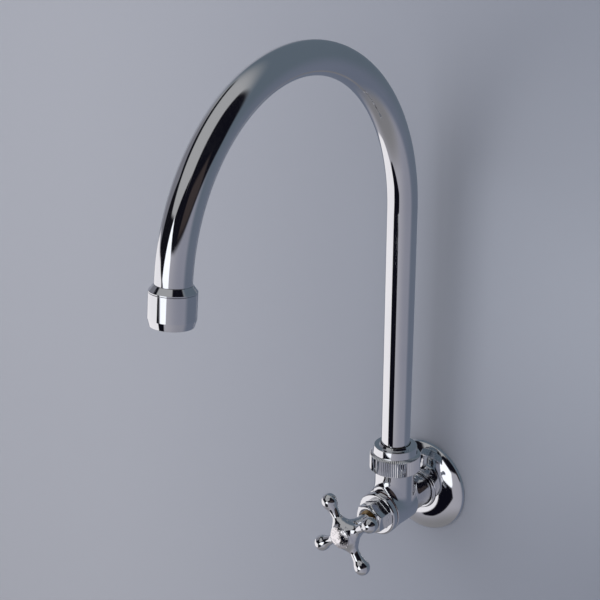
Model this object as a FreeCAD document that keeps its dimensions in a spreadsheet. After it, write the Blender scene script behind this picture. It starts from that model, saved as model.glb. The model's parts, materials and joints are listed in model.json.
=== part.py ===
import FreeCAD, Part
import os
import re
from math import atan2, pi, tan

import Sketcher

# Wall-mounted kitchen tap: a swivelling gooseneck spout over a screw-down valve with a cross handle.
# Millimetres. +Y points into the wall, +X to the right and +Z up; the origin is the centre of the wall
# flange's back face, on the axis of the inlet. The valve's own frame has its Z along -Y, so that a length
# there is a distance in front of the wall. The spout's frame stands on the riser's axis.

sizes = {
    # inlet shank and neck
    "inlet_thread_radius": 10.4775,
    "inlet_thread_pitch": 1.814,
    "inlet_thread_depth": 1.1,
    "inlet_thread_crest": 0.35,
    "inlet_thread_turns": 8,
    "inlet_relief": 2.0,
    "inlet_lead": 0.8,
    "inlet_bore_radius": 6.5,
    "neck_radius": 11.8,
    "neck_behind_wall": 4.0,
    # valve body
    "riser_offset": 37.0,
    "barrel_back": 10.5,
    "barrel_round": 1.7,
    "barrel_radius": 13.7,
    "barrel_front": 1.55,
    "barrel_bead_radius": 14.7,
    "barrel_bead_width": 2.2,
    "barrel_bead_round": 0.9,
    "chamber_radius": 9.6,
    "chamber_back": 12.0,
    "tower_radius": 13.25,
    "tower_top": 39.0,
    "tower_thread_pitch": 1.814,
    "tower_thread_depth": 0.9,
    "tower_thread_crest": 0.35,
    "tower_thread_turns": 5,
    "socket_radius": 10.9,
    "socket_floor": 12.5,
    "port_radius": 6.0,
    # fits, and how far a cut runs past a face
    "running_fit": 0.05,
    "seat_gap": 0.3,
    "past": 1.0,
    # wall flange
    "flange_radius": 32.5,
    "flange_rim": 2.6,
    "flange_draft": 0.4,
    "flange_dome_radius": 30.0,
    "flange_wall": 1.8,
    "flange_lip_wall": 2.2,
    "flange_lip_start": 7.9,
    "flange_lip_end": 9.8,
    "flange_lip_edge": 0.6,
    "flange_hub_start": 4.4,
    "flange_clearance": 0.4,
    "flange_ring_width": 1.9,
    "flange_ring_depth": 0.9,
    "flange_ring_start": 5.4,
    # seat
    "seat_thread_radius": 8.0,
    "seat_web": 4.0,
    "seat_flange": 1.5,
    "seat_rim_radius": 7.0,
    "seat_rim": 1.0,
    "seat_bore_radius": 5.5,
    # jumper
    "jumper_radius": 8.2,
    "jumper_washer": 3.2,
    "jumper_disc": 2.2,
    "jumper_stud_radius": 2.0,
    "jumper_stud": 6.0,
    "jumper_stem_radius": 3.0,
    "jumper_stem": 11.0,
    "jumper_nut_flats": 7.0,
    "jumper_nut": 2.4,
    # headwork
    "bonnet_thread_radius": 10.0,
    "bonnet_thread": 8.3,
    "bonnet_washer": 0.7,
    "bonnet_washer_radius": 13.6,
    "collar_radius": 14.5,
    "collar": 4.4,
    "collar_round": 1.4,
    "hex_flats": 19.0,
    "hex_angle": 23.5,
    "hex_length": 9.3,
    "hex_chamfer": 0.9,
    "hex_chamfer_angle": 30.0,
    "bonnet_bore_length": 13.0,
    "packing_floor": 1.5,
    "packing_radius": 6.0,
    "packing_length": 3.0,
    "gland_radius": 6.4,
    "gland_length": 3.7,
    "gland_slot": 1.6,
    "gland_slot_depth": 1.2,
    "recess_radius": 7.1,
    "recess_depth": 1.6,
    # spindle
    "spindle_thread_radius": 6.0,
    "spindle_travel": 5.0,
    "spindle_stop_gap": 0.5,
    "spindle_shaft_radius": 4.0,
    "spindle_square": 5.6,
    "spindle_square_length": 15.0,
    "stem_socket": 12.0,
    # handle
    "handle_angle": 35.4,
    "hub_gap": 1.8,
    "hub_back_radius": 5.3,
    "hub_waist_radius": 5.2,
    "hub_back": 7.0,
    "hub_flare_radius": 60.0,
    "hub_shoulder_radius": 9.4,
    "hub_shoulder_setback": 2.0,
    "hub_nose_round": 6.5,
    "hub_front_radius": 7.5,
    "hub_nose": 5.8,
    "hub_edge": 0.8,
    "hub_web": 2.0,
    "hub_socket": 3.0,
    "hub_recess_radius": 5.6,
    "arm_setback": 22.0,
    "arm_root_radius": 4.2,
    "arm_root_reach": 8.0,
    "arm_flare_radius": 14.0,
    "arm_neck_radius": 3.05,
    "arm_neck_reach": 13.5,
    "ball_circle": 23.7,
    "ball_radius": 5.1,
    "ball_joint_radius": 4.3,
    "ball_flare_radius": 30.0,
    "arm_count": 4,
    "screw_radius": 2.0,
    "screw_head_radius": 3.6,
    "screw_head": 2.2,
    "screw_length": 12.0,
    "screw_hole": 1.5,
    "screw_slot": 1.0,
    "cap_radius": 7.3,
    "cap_edge": 0.8,
    "cap_dome": 1.3,
    "cap_fit": 0.1,
    "cap_skirt_wall": 0.8,
    "cap_skirt": 2.0,
    # spout
    "swivel_angle": 4.0,
    "tube_radius": 9.5,
    "tube_wall": 1.2,
    "arch_start": 205.0,
    "arch_radius": 107.0,
    "arch_angle": 174.0,
    "foot_gap": 0.5,
    "foot_bore_radius": 6.6,
    "foot_shoulder": 11.0,
    "foot_collar_radius": 12.3,
    "foot_collar": 1.8,
    "ring_groove_depth": 1.8,
    "ring_groove_width": 2.5,
    "ring_groove_lower": 2.0,
    "ring_groove_spacing": 4.4,
    "ring_round": 0.7,
    "thrust_washer": 0.5,
    "slip_washer": 0.6,
    "washer_gap": 0.05,
    # spout nut
    "nut_radius": 16.9,
    "nut_overlap": 11.6,
    "knurl_length": 10.6,
    "knurl_edge": 0.5,
    "knurl_depth": 0.45,
    "knurl_width": 0.75,
    "knurl_count": 84,
    "nut_band_radius": 14.7,
    "nut_band_bow": 45.0,
    "nut_shoulder_radius": 14.2,
    "nut_band": 6.4,
    "nut_collar_wall": 0.9,
    "nut_collar": 1.4,
    "nut_hole_gap": 0.5,
    # outlet
    "tube_in_ferrule": 7.6,
    "ferrule_length": 10.8,
    "ferrule_cone": 3.1,
    "ferrule_land": 0.5,
    "ferrule_edge": 0.4,
    "outlet_thread_radius": 11.0,
    "outlet_wall": 1.25,
    "outlet_gap": 0.15,
    "housing_length": 17.35,
    "housing_edge": 0.3,
    "housing_chamfer": 4.0,
    "housing_end_inset": 1.15,
    "housing_lip": 2.4,
    "mouth_radius": 9.4,
    "aerator_washer": 2.0,
    "aerator_washer_bore": 7.6,
    "insert_plate": 1.6,
    "insert_wall": 1.1,
    "jet_radius": 0.7,
    "jet_circle": 6.6,
    "jet_count": 16,
    "screen_thickness": 0.8,
    "screen_inset": 1.0,
    "screen_hole_radius": 0.75,
    "screen_spacing": 2.5,
    "screen_rings": 3,
}

# what follows from the sizes: along the valve's axis, distances in front of the wall; on the riser, heights
places = {
    "inlet_thread_start": "-(neck_behind_wall + inlet_relief)",
    "inlet_end": "inlet_thread_start - inlet_thread_turns * inlet_thread_pitch - inlet_lead",
    "barrel_start": "riser_offset - barrel_back",
    "barrel_end": "riser_offset + tower_radius + barrel_front",
    "chamber_start": "riser_offset - chamber_back",
    "seat_web_start": "chamber_start - seat_web",
    "seat_face": "chamber_start + seat_flange + seat_rim",
    "seat_flange_radius": "chamber_radius - seat_gap",
    "jumper_washer_start": "seat_face + seat_gap",
    "jumper_disc_start": "jumper_washer_start + jumper_washer",
    "jumper_disc_end": "jumper_disc_start + jumper_disc",
    "flange_bore": "neck_radius + flange_clearance",
    "flange_lip_radius": "neck_radius + flange_lip_wall",
    "collar_start": "barrel_end + bonnet_washer",
    "bonnet_start": "collar_start - bonnet_thread",
    "hex_start": "collar_start + collar",
    "hex_end": "hex_start + hex_length",
    "spindle_bore_end": "bonnet_start + bonnet_bore_length",
    "packing_start": "spindle_bore_end + packing_floor",
    "gland_start": "packing_start + packing_length",
    "shaft_hole": "spindle_shaft_radius + running_fit",
    "spindle_start": "jumper_disc_end + seat_gap",
    "spindle_shoulder": "spindle_bore_end - spindle_travel - spindle_stop_gap",
    "hub_start": "hex_end + hub_gap",
    "hub_waist": "hub_start + hub_back",
    "arm_plane": "hub_start + arm_setback",
    "hub_shoulder": "arm_plane - hub_shoulder_setback",
    "hub_front": "arm_plane + hub_nose",
    "shaft_end": "hub_start + hub_socket",
    "square_end": "shaft_end + spindle_square_length",
    "hub_web_start": "square_end + seat_gap",
    "screw_seat": "hub_web_start + hub_web",
    "cap_skirt_radius": "hub_recess_radius - cap_fit",
    "foot_start": "socket_floor + foot_gap",
    "foot_radius": "socket_radius - running_fit",
    "tube_seat": "foot_start + foot_shoulder",
    "collar_seat": "tower_top + thrust_washer + washer_gap",
    "collar_top": "collar_seat + foot_collar",
    "slip_washer_start": "collar_top + washer_gap",
    "nut_lip_start": "slip_washer_start + slip_washer",
    "tube_hole": "tube_radius + running_fit",
    "nut_bottom": "tower_top - nut_overlap",
    "knurl_top": "nut_bottom + knurl_length",
    "nut_shoulder": "knurl_top + nut_band",
    "nut_top": "nut_shoulder + nut_collar",
    "nut_hole_radius": "tube_radius + nut_hole_gap",
    "arch_reach": "arch_radius * (1 - cos(arch_angle))",
    "arch_end": "arch_start + arch_radius * sin(arch_angle)",
    "outlet_radius": "outlet_thread_radius + outlet_wall",
    "ferrule_shoulder": "ferrule_cone + ferrule_land",
    "housing_start": "ferrule_shoulder + outlet_gap",
    "housing_end": "housing_start + housing_length",
    "housing_ledge": "housing_end - housing_lip",
    "housing_end_radius": "outlet_radius - housing_end_inset",
    "housing_bore": "outlet_thread_radius + running_fit",
    "aerator_washer_end": "ferrule_length + aerator_washer",
    "insert_radius": "outlet_thread_radius - seat_gap",
}

doc = FreeCAD.newDocument("wall_faucet")
sheet = doc.addObject("Spreadsheet::Sheet", "Sizes")
for row, (name, number) in enumerate(sizes.items(), 1):
    sheet.set(f"A{row}", name)
    sheet.set(f"B{row}", str(number))
    sheet.setAlias(f"B{row}", name)
doc.recompute()

bench = doc.addObject("Spreadsheet::Sheet", "Bench")

parts = []
word = re.compile(r"[a-z][a-z_0-9]*")


def formula(text):
    """The text with each size's name pointed at its cell, and each place written out in sizes."""

    def point(hit):
        name = hit.group()
        if name in places:
            return f"({formula(places[name])})"
        return "Sizes." + name if name in sizes else name

    return word.sub(point, text)


def worth(text):
    """The number that a formula gives now, worked out in a cell of the bench."""
    bench.set("A1", "=" + formula(text))
    bench.recompute()
    return float(bench.get("A1"))


def bind(thing, prop, text):
    thing.setExpression(prop, formula(text))


# ---- sketches
# An outline is a list of corners, each a pair of formulas and, if it isn't sharp, how it goes on.


def pin(sketch, geo, end, x, y):
    """Holds one point of a sketch at the two formulas."""
    for kind, text, axis in (("DistanceX", x, -2), ("DistanceY", y, -1)):
        if text == "0":
            sketch.addConstraint(Sketcher.Constraint("PointOnObject", geo, end, axis))
        else:
            at = sketch.addConstraint(Sketcher.Constraint(kind, -1, 1, geo, end, worth(text)))
            bind(sketch, f"Constraints[{at}]", text)


def radius_of(sketch, geo, text):
    at = sketch.addConstraint(Sketcher.Constraint("Radius", geo, worth(text)))
    bind(sketch, f"Constraints[{at}]", text)


def arc_by(centre, radius, begin, finish, left):
    """An arc between two points, and which of its ends is the first of them."""
    first, last = (begin, finish) if left else (finish, begin)
    angles = [atan2(point.y - centre.y, point.x - centre.x) for point in (first, last)]
    if angles[1] < angles[0]:
        angles[1] += 2 * pi
    circle = Part.Circle(centre, FreeCAD.Vector(0, 0, 1), radius)
    return Part.ArcOfCircle(circle, *angles), (1, 2) if left else (2, 1)


def draw(sketch, corners):
    """Draws a closed outline. After a corner may come ("round", radius), or ("bow", radius, side) where the
    line from it is an arc with its centre left (1) or right (-1) of the way to the next corner."""
    count = len(corners)
    spots = [FreeCAD.Vector(worth(corner[0]), worth(corner[1]), 0) for corner in corners]
    kinds = [corner[2] if len(corner) > 2 else ("sharp",) for corner in corners]
    leave, arrive, rounds = {}, {}, {}
    for i, kind in enumerate(kinds):
        leave[i] = arrive[i] = spots[i]
        if kind[0] == "round":
            radius = worth(kind[1])
            back = (spots[i - 1] - spots[i]).normalize()
            ahead = (spots[(i + 1) % count] - spots[i]).normalize()
            half = back.getAngle(ahead) / 2
            arrive[i] = spots[i] + back * (radius / tan(half))
            leave[i] = spots[i] + ahead * (radius / tan(half))
            bisector = (back + ahead).normalize()
            centre = spots[i] + bisector * (arrive[i] - spots[i]).Length / max(bisector.dot(back), 1e-9)
            rounds[i] = (centre, radius, back.cross(ahead).z < 0)
    edges = []
    for i, kind in enumerate(kinds):
        begin, finish = leave[i], arrive[(i + 1) % count]
        if kind[0] == "bow":
            radius, left = worth(kind[1]), kind[2] > 0
            chord = finish - begin
            rise = (radius**2 - (chord.Length / 2) ** 2) ** 0.5
            across = FreeCAD.Vector(-chord.y, chord.x, 0).normalize() * (rise if left else -rise)
            arc, ends = arc_by((begin + finish) / 2 + across, radius, begin, finish, left)
            geo = sketch.addGeometry(arc)
            edges.append((geo, ends))
        else:
            geo = sketch.addGeometry(Part.LineSegment(begin, finish))
            edges.append((geo, (1, 2)))
    for i, kind in enumerate(kinds):
        before, after = edges[i - 1], edges[i]
        if i in rounds:
            centre, radius, left = rounds[i]
            arc, ends = arc_by(centre, radius, arrive[i], leave[i], left)
            geo = sketch.addGeometry(arc)
            tip = sketch.addGeometry(Part.Point(spots[i]), True)
            pin(sketch, tip, 1, corners[i][0], corners[i][1])
            sketch.addConstraint(Sketcher.Constraint("PointOnObject", tip, 1, before[0]))
            sketch.addConstraint(Sketcher.Constraint("PointOnObject", tip, 1, after[0]))
            sketch.addConstraint(Sketcher.Constraint("Tangent", before[0], before[1][1], geo, ends[0]))
            sketch.addConstraint(Sketcher.Constraint("Tangent", geo, ends[1], after[0], after[1][0]))
            radius_of(sketch, geo, kind[1])
        else:
            pin(sketch, after[0], after[1][0], corners[i][0], corners[i][1])
            sketch.addConstraint(
                Sketcher.Constraint("Coincident", before[0], before[1][1], after[0], after[1][0])
            )
        if kind[0] == "bow":
            radius_of(sketch, after[0], kind[1])


def plane_of(body, role):
    return next(item for item in body.Origin.OriginFeatures if item.Role == role)


def sketch_on(body, name, role="XZ_Plane", x="0", y="0", z="0"):
    """An empty sketch on one of the body's planes, shifted by formulas along its own axes."""
    sketch = body.newObject("Sketcher::SketchObject", name)
    sketch.AttachmentSupport = [(plane_of(body, role), "")]
    sketch.MapMode = "FlatFace"
    bind(sketch, "AttachmentOffset", f"placement(vector({x}; {y}; {z}); rotation(vector(0; 0; 1); 0))")
    doc.recompute()
    return sketch


def turn(body, name, corners, cut=False, about="V_Axis", **where):
    """A turned solid or cut. Its corners are (radius, place along the axis), or the reverse about H_Axis."""
    sketch = sketch_on(body, name + "_outline", **where)
    draw(sketch, corners)
    turned = body.newObject("PartDesign::Groove" if cut else "PartDesign::Revolution", name)
    turned.Profile = sketch
    turned.ReferenceAxis = (sketch, [about])
    turned.Angle = 360
    doc.recompute()
    return turned


def extrude(body, name, sketch, length, cut=False, reverse=False, both=False):
    feature = body.newObject("PartDesign::Pocket" if cut else "PartDesign::Pad", name)
    feature.Profile = sketch
    bind(feature, "Length", length)
    feature.Reversed = reverse
    feature.Midplane = both
    doc.recompute()
    return feature


def around(body, feature, count):
    """Repeats a feature evenly about the body's Z axis."""
    pattern = body.newObject("PartDesign::PolarPattern", feature.Name + "_pattern")
    pattern.Originals = [feature]
    pattern.Axis = (next(item for item in body.Origin.OriginFeatures if item.Role == "Z_Axis"), [""])
    pattern.Angle = 360
    bind(pattern, "Occurrences", count)
    body.Tip = pattern
    doc.recompute()
    return pattern


def along(body, feature, sketch, spacing, count):
    """Repeats a feature at a spacing along the V axis of its sketch."""
    pattern = body.newObject("PartDesign::LinearPattern", feature.Name + "_pattern")
    pattern.Originals = [feature]
    pattern.Direction = (sketch, ["V_Axis"])
    pattern.Mode = "Spacing"
    bind(pattern, "Offset", spacing)
    bind(pattern, "Occurrences", count)
    body.Tip = pattern
    doc.recompute()
    return pattern


def block(x0, x1, y0, y1):
    return [(x0, y0), (x1, y0), (x1, y1), (x0, y1)]


def hexagon(sketch, flats):
    """A hexagon about the sketch's origin with a corner on its X axis."""
    corners = []
    for step in range(6):
        reach = f"({flats}) / sqrt(3)"
        corners.append((f"{reach} * cos({60 * step})", f"{reach} * sin({60 * step})"))
    draw(sketch, corners)


# ---- frames

out_of_wall = "rotation(vector(1; 0; 0); 90)"
about_axis = "rotation(vector(0; 0; 1); {})"


def new_body(name, place):
    """A sub-part's body, held at the placement that a formula gives."""
    body = doc.addObject("PartDesign::Body", name)
    body.Label = name
    bind(body, "Placement", place)
    parts.append(body)
    return body


def valve_part(name, angle="0"):
    """A body whose Z axis is the inlet's, out of the wall, turned about it by an angle."""
    return new_body(name, f"placement(vector(0; 0; 0); {out_of_wall} * {about_axis.format(angle)})")


riser_frame = f"placement(vector(0; -riser_offset; 0); {about_axis.format('swivel_angle - 90')})"


def riser_part(name):
    """A body on the riser's axis whose X axis points the way that the spout reaches."""
    return new_body(name, riser_frame)


def outlet_part(name):
    """A body whose Z axis is the outlet's, the way the water leaves, from the end of the arch."""
    outlet = "placement(vector(arch_reach; 0; arch_end); rotation(vector(0; 1; 0); arch_angle))"
    return new_body(name, f"{riser_frame} * {outlet}")


# ---- valve body


def thread_grooves(body, name, radius, depth, pitch, crest, start, turns, **where):
    """Ring grooves that stand for a thread, from start along the axis."""
    outline = [
        (f"{radius} + past", f"{start}"),
        (f"{radius} + past", f"{start} + {pitch} - {crest}"),
        (radius, f"{start} + {pitch} - {crest}"),
        (f"{radius} - {depth}", f"{start} + ({pitch} - {crest}) / 2"),
        (radius, f"{start}"),
    ]
    groove = turn(body, name, outline, cut=True, **where)
    return along(body, groove, groove.Profile[0], pitch, turns)


def make_valve_body():
    body = valve_part("valve_body")
    root = "inlet_thread_radius - inlet_thread_depth"
    bead_start = "barrel_end - barrel_bead_width"
    turn(
        body,
        "barrel",
        [
            ("0", "inlet_end"),
            (root, "inlet_end"),
            ("inlet_thread_radius", "inlet_end + inlet_lead"),
            ("inlet_thread_radius", "inlet_thread_start"),
            (root, "inlet_thread_start"),
            (root, "-neck_behind_wall"),
            ("neck_radius", "-neck_behind_wall"),
            ("neck_radius", "barrel_start"),
            ("barrel_radius", "barrel_start", ("round", "barrel_round")),
            ("barrel_radius", bead_start),
            ("barrel_bead_radius", bead_start, ("round", "barrel_bead_round")),
            ("barrel_bead_radius", "barrel_end", ("round", "barrel_bead_round")),
            ("0", "barrel_end"),
        ],
    )
    turn(
        body,
        "tower",
        block("0", "tower_radius", "0", "tower_top"),
        role="XY_Plane",
        z="riser_offset",
    )
    turn(
        body,
        "waterway",
        [
            ("0", "inlet_end - past"),
            ("inlet_bore_radius", "inlet_end - past"),
            ("inlet_bore_radius", "seat_web_start"),
            ("seat_thread_radius + running_fit", "seat_web_start"),
            ("seat_thread_radius + running_fit", "chamber_start"),
            ("chamber_radius", "chamber_start"),
            ("chamber_radius", "bonnet_start - seat_gap"),
            ("bonnet_thread_radius + running_fit", "bonnet_start - seat_gap"),
            ("bonnet_thread_radius + running_fit", "barrel_end + past"),
            ("0", "barrel_end + past"),
        ],
        cut=True,
    )
    turn(
        body,
        "spout_socket",
        [
            ("0", "0"),
            ("port_radius", "0"),
            ("port_radius", "socket_floor"),
            ("socket_radius", "socket_floor"),
            ("socket_radius", "tower_top + past"),
            ("0", "tower_top + past"),
        ],
        cut=True,
        role="XY_Plane",
        z="riser_offset",
    )
    inlet_first = "inlet_thread_start - inlet_thread_turns * inlet_thread_pitch + inlet_thread_crest"
    thread_grooves(
        body,
        "inlet_thread",
        "inlet_thread_radius",
        "inlet_thread_depth",
        "inlet_thread_pitch",
        "inlet_thread_crest",
        inlet_first,
        "inlet_thread_turns",
    )
    thread_grooves(
        body,
        "tower_thread",
        "tower_radius",
        "tower_thread_depth",
        "tower_thread_pitch",
        "tower_thread_crest",
        "tower_top - tower_thread_turns * tower_thread_pitch",
        "tower_thread_turns",
        role="XY_Plane",
        z="riser_offset",
    )


def make_valve_seat():
    flange_end = "chamber_start + seat_flange"
    turn(
        valve_part("valve_seat"),
        "seat",
        [
            ("seat_bore_radius", "seat_web_start"),
            ("seat_thread_radius", "seat_web_start"),
            ("seat_thread_radius", "chamber_start"),
            ("seat_flange_radius", "chamber_start"),
            ("seat_flange_radius", flange_end),
            ("seat_rim_radius", flange_end),
            ("seat_rim_radius", "seat_face"),
            ("seat_bore_radius", "seat_face"),
        ],
    )


# ---- wall flange


def make_wall_flange():
    side = "flange_radius - flange_draft"
    groove_wall = "flange_bore + flange_ring_depth"
    groove_end = "flange_ring_start + flange_ring_width"
    turn(
        valve_part("wall_flange"),
        "shell",
        [
            ("flange_radius", "0"),
            (side, "flange_rim", ("bow", "flange_dome_radius", 1)),
            ("flange_lip_radius", "flange_lip_start"),
            ("flange_lip_radius", "flange_lip_end", ("round", "flange_lip_edge")),
            ("flange_bore", "flange_lip_end", ("round", "flange_lip_edge")),
            ("flange_bore", groove_end),
            (groove_wall, groove_end),
            (groove_wall, "flange_ring_start"),
            ("flange_bore", "flange_ring_start"),
            ("flange_bore", "flange_hub_start"),
            ("flange_lip_radius", "flange_hub_start"),
            (
                "flange_lip_radius",
                "flange_lip_start - flange_wall",
                ("bow", "flange_dome_radius - flange_wall", -1),
            ),
            (f"{side} - flange_wall", "flange_rim - flange_wall / 2"),
            ("flange_radius - flange_wall", "0"),
        ],
    )


def rounded_ring(body, name, inner, outer, start, width, rounding):
    turn(
        body,
        name,
        [
            (inner, start, ("round", rounding)),
            (outer, start, ("round", rounding)),
            (outer, f"{start} + {width}", ("round", rounding)),
            (inner, f"{start} + {width}", ("round", rounding)),
        ],
    )


def make_flange_o_ring():
    rounded_ring(
        valve_part("flange_o_ring"),
        "ring",
        "neck_radius + running_fit",
        "flange_bore + flange_ring_depth - running_fit",
        "flange_ring_start + running_fit",
        "flange_ring_width - 2 * running_fit",
        "flange_ring_depth / 2",
    )


# ---- jumper, which closes on the seat


def ring(body, name, inner, outer, start, end):
    turn(body, name, block(inner, outer, start, end))


def make_jumper():
    stem_end = "jumper_disc_end + jumper_stem"
    stud_end = "jumper_disc_start - jumper_stud"
    turn(
        valve_part("jumper"),
        "disc_and_stem",
        [
            ("0", stud_end),
            ("jumper_stud_radius", stud_end),
            ("jumper_stud_radius", "jumper_disc_start"),
            ("jumper_radius", "jumper_disc_start"),
            ("jumper_radius", "jumper_disc_end"),
            ("jumper_stem_radius", "jumper_disc_end"),
            ("jumper_stem_radius", stem_end),
            ("0", stem_end),
        ],
    )


def make_jumper_washer():
    ring(
        valve_part("jumper_washer"),
        "washer",
        "jumper_stud_radius + running_fit",
        "jumper_radius",
        "jumper_washer_start",
        "jumper_disc_start",
    )


def make_jumper_nut():
    body = valve_part("jumper_nut")
    nut_start = "jumper_washer_start - jumper_nut"
    flats = sketch_on(body, "nut_flats", "XY_Plane", z=nut_start)
    hexagon(flats, "jumper_nut_flats")
    extrude(body, "nut", flats, "jumper_nut")
    turn(
        body,
        "nut_hole",
        block("0", "jumper_stud_radius + running_fit", f"{nut_start} - past", "jumper_disc_start"),
        cut=True,
    )


# ---- headwork


def make_bonnet_washer():
    ring(
        valve_part("bonnet_washer"),
        "washer",
        "bonnet_thread_radius + running_fit",
        "bonnet_washer_radius",
        "barrel_end",
        "collar_start",
    )


def make_bonnet():
    body = valve_part("bonnet", "hex_angle")
    turn(
        body,
        "thread_and_collar",
        [
            ("0", "bonnet_start"),
            ("bonnet_thread_radius", "bonnet_start"),
            ("bonnet_thread_radius", "collar_start"),
            ("collar_radius", "collar_start"),
            ("collar_radius", "hex_start", ("round", "collar_round")),
            ("0", "hex_start"),
        ],
    )
    flats = sketch_on(body, "hex_flats_outline", "XY_Plane", z="hex_start")
    hexagon(flats, "hex_flats")
    extrude(body, "hexagon_head", flats, "hex_length")
    corner = "hex_flats / sqrt(3) + past"
    inset = "hex_flats / 2 - hex_chamfer"
    turn(
        body,
        "corner_chamfer",
        [
            (inset, "hex_end + past"),
            (inset, "hex_end"),
            (corner, f"hex_end - ({corner} - ({inset})) * tan(hex_chamfer_angle)"),
            (corner, "hex_end + past"),
        ],
        cut=True,
    )
    thread_bore = "spindle_thread_radius + running_fit"
    turn(
        body,
        "headwork_bore",
        [
            ("0", "bonnet_start - past"),
            (thread_bore, "bonnet_start - past"),
            (thread_bore, "spindle_bore_end"),
            ("shaft_hole", "spindle_bore_end"),
            ("shaft_hole", "packing_start"),
            ("packing_radius + running_fit", "packing_start"),
            ("packing_radius + running_fit", "gland_start"),
            ("gland_radius + running_fit", "gland_start"),
            ("gland_radius + running_fit", "hex_end - recess_depth"),
            ("recess_radius", "hex_end - recess_depth"),
            ("recess_radius", "hex_end + past"),
            ("0", "hex_end + past"),
        ],
        cut=True,
    )


def make_gland_packing():
    body = valve_part("gland_packing")
    ring(body, "packing", "shaft_hole", "packing_radius", "packing_start", "gland_start")


def make_gland_nut():
    body = valve_part("gland_nut", "hex_angle")
    gland_end = "gland_start + gland_length"
    ring(body, "gland", "shaft_hole", "gland_radius", "gland_start", gland_end)
    slot = sketch_on(body, "slot_outline", "XY_Plane", z=f"{gland_end} - gland_slot_depth")
    slot_end = "gland_radius + past"
    draw(slot, block(f"-({slot_end})", slot_end, "-gland_slot / 2", "gland_slot / 2"))
    extrude(body, "spanner_slot", slot, "gland_slot_depth", cut=True, reverse=True)


# ---- spindle


def square(sketch, flats):
    draw(sketch, block(f"-({flats}) / 2", f"({flats}) / 2", f"-({flats}) / 2", f"({flats}) / 2"))


def make_spindle():
    body = valve_part("spindle", "handle_angle")
    stem_hole = "jumper_stem_radius + running_fit"
    turn(
        body,
        "shaft",
        [
            (stem_hole, "spindle_start"),
            ("spindle_thread_radius", "spindle_start"),
            ("spindle_thread_radius", "spindle_shoulder"),
            ("spindle_shaft_radius", "spindle_shoulder"),
            ("spindle_shaft_radius", "shaft_end"),
            ("0", "shaft_end"),
            ("0", "spindle_start + stem_socket"),
            (stem_hole, "spindle_start + stem_socket"),
        ],
    )
    flats = sketch_on(body, "square_outline", "XY_Plane", z="shaft_end")
    square(flats, "spindle_square")
    extrude(body, "square_end", flats, "spindle_square_length")
    tapped_depth = "screw_seat - screw_length - screw_hole"
    turn(
        body,
        "tapped_hole",
        block("0", "screw_radius + running_fit", tapped_depth, "square_end + past"),
        cut=True,
    )


# ---- handle


def make_handle_cross():
    body = valve_part("handle_cross", "handle_angle")
    turn(
        body,
        "hub",
        [
            ("0", "hub_start"),
            ("hub_back_radius", "hub_start", ("round", "hub_edge")),
            ("hub_waist_radius", "hub_waist", ("bow", "hub_flare_radius", -1)),
            ("hub_shoulder_radius", "hub_shoulder", ("bow", "hub_nose_round", 1)),
            ("hub_front_radius", "hub_front"),
            ("0", "hub_front"),
        ],
    )
    ball_start = "ball_circle - sqrt(ball_radius^2 - ball_joint_radius^2)"
    arm = turn(
        body,
        "arm_and_ball",
        [
            ("0", "0"),
            ("0", "arm_root_radius"),
            ("arm_root_reach", "arm_root_radius", ("bow", "arm_flare_radius", 1)),
            ("arm_neck_reach", "arm_neck_radius", ("bow", "ball_flare_radius", 1)),
            (ball_start, "ball_joint_radius", ("bow", "ball_radius", -1)),
            ("ball_circle + ball_radius", "0"),
        ],
        about="H_Axis",
        y="arm_plane",
    )
    around(body, arm, "arm_count")
    turn(
        body,
        "hub_bore",
        [
            ("0", "hub_start - past"),
            ("shaft_hole", "hub_start - past"),
            ("shaft_hole", "shaft_end"),
            ("0", "shaft_end"),
        ],
        cut=True,
    )
    socket = sketch_on(body, "socket_outline", "XY_Plane", z="shaft_end")
    square(socket, "spindle_square + 2 * running_fit")
    extrude(body, "square_socket", socket, "hub_web_start - shaft_end", cut=True, reverse=True)
    turn(
        body,
        "front_recess",
        [
            ("0", "hub_web_start - past"),
            ("screw_radius + running_fit", "hub_web_start - past"),
            ("screw_radius + running_fit", "screw_seat"),
            ("hub_recess_radius", "screw_seat"),
            ("hub_recess_radius", "hub_front + past"),
            ("0", "hub_front + past"),
        ],
        cut=True,
    )


def make_handle_screw():
    body = valve_part("handle_screw", "handle_angle")
    tip = "screw_seat - screw_length"
    head_end = "(screw_seat + screw_head)"
    turn(
        body,
        "shank_and_head",
        [
            ("0", tip),
            ("screw_radius", tip),
            ("screw_radius", "screw_seat"),
            ("screw_head_radius", "screw_seat"),
            ("screw_head_radius", head_end, ("round", "screw_head / 3")),
            ("0", head_end),
        ],
    )
    slot = sketch_on(body, "slot_outline", "XY_Plane", z=f"{head_end} - screw_head / 2")
    slot_end = "screw_head_radius + past"
    draw(slot, block(f"-({slot_end})", slot_end, "-screw_slot / 2", "screw_slot / 2"))
    extrude(body, "driver_slot", slot, "screw_head", cut=True, reverse=True)


def make_index_cap():
    skirt_inner = "cap_skirt_radius - cap_skirt_wall"
    skirt_end = "hub_front - cap_skirt"
    edge_top = "hub_front + cap_edge"
    turn(
        valve_part("index_cap"),
        "cap",
        [
            ("0", "hub_front"),
            (skirt_inner, "hub_front"),
            (skirt_inner, skirt_end),
            ("cap_skirt_radius", skirt_end),
            ("cap_skirt_radius", "hub_front"),
            ("cap_radius", "hub_front"),
            ("cap_radius", edge_top, ("bow", "(cap_radius^2 + cap_dome^2) / (2 * cap_dome)", 1)),
            ("0", f"{edge_top} + cap_dome"),
        ],
    )


# ---- spout


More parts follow.
